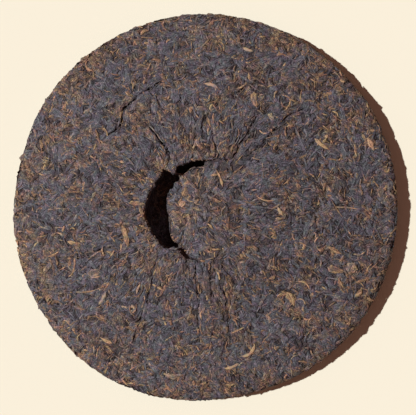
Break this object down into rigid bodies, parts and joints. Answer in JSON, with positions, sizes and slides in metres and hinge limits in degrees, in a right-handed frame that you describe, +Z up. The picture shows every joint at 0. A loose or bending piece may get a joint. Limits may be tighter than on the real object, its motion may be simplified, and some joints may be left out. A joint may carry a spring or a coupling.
{
  "type": "pu erh tea cake",
  "caption": "Round pressed cake of dark fermented tea leaves, with a thin rounded rim and the round dent of the bag's knot in its upper face.",
  "frame": {"origin": "the middle of the cake's base, on the surface it lies on", "axes": "+Z up through the thickness, out of the face with the knot hollow; the hollow's slot is on its -X side"},
  "size_m": [0.1996, 0.2008, 0.0202],
  "materials": {
    "pressed_leaf": "dry pressed tea leaf, dark grey-brown with a faint satin sheen on the flattened leaves"
  },
  "bodies": {
    "root": {"tea_cake": "pressed_leaf"}
  },
  "joints": []
}
